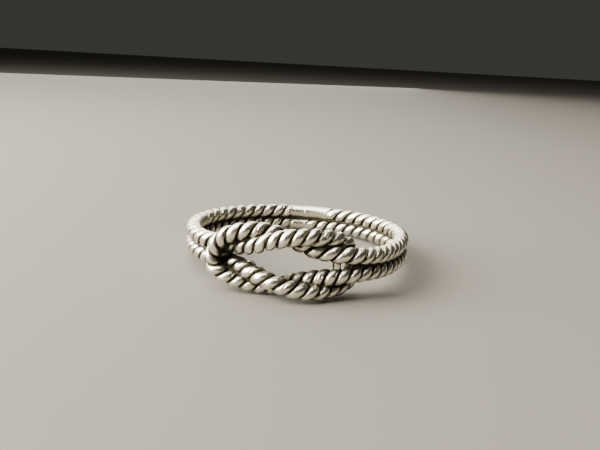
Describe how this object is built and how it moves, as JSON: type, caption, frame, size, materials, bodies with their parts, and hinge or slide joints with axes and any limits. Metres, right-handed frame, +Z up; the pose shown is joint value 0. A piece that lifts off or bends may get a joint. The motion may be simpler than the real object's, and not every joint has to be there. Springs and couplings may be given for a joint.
{
  "type": "silver rope knot ring",
  "caption": "Finger ring of twisted silver ropes laid side by side, tied at the front in an open reef knot and soldered at the back, bright on the crests and dark in the grooves.",
  "frame": {"origin": "on the table, under the middle of the ring's box as it lies on its side", "axes": "+Z up, 3.8 degrees off the finger hole's axis; the knot faces -Y and the soldered joint +Y"},
  "size_m": [0.02, 0.0214, 0.0057],
  "materials": {
    "antiqued_silver": "polished cast silver with darkened grooves, small casting pits and worn bright crests"
  },
  "bodies": {
    "root": {"ring": "antiqued_silver"}
  },
  "joints": []
}
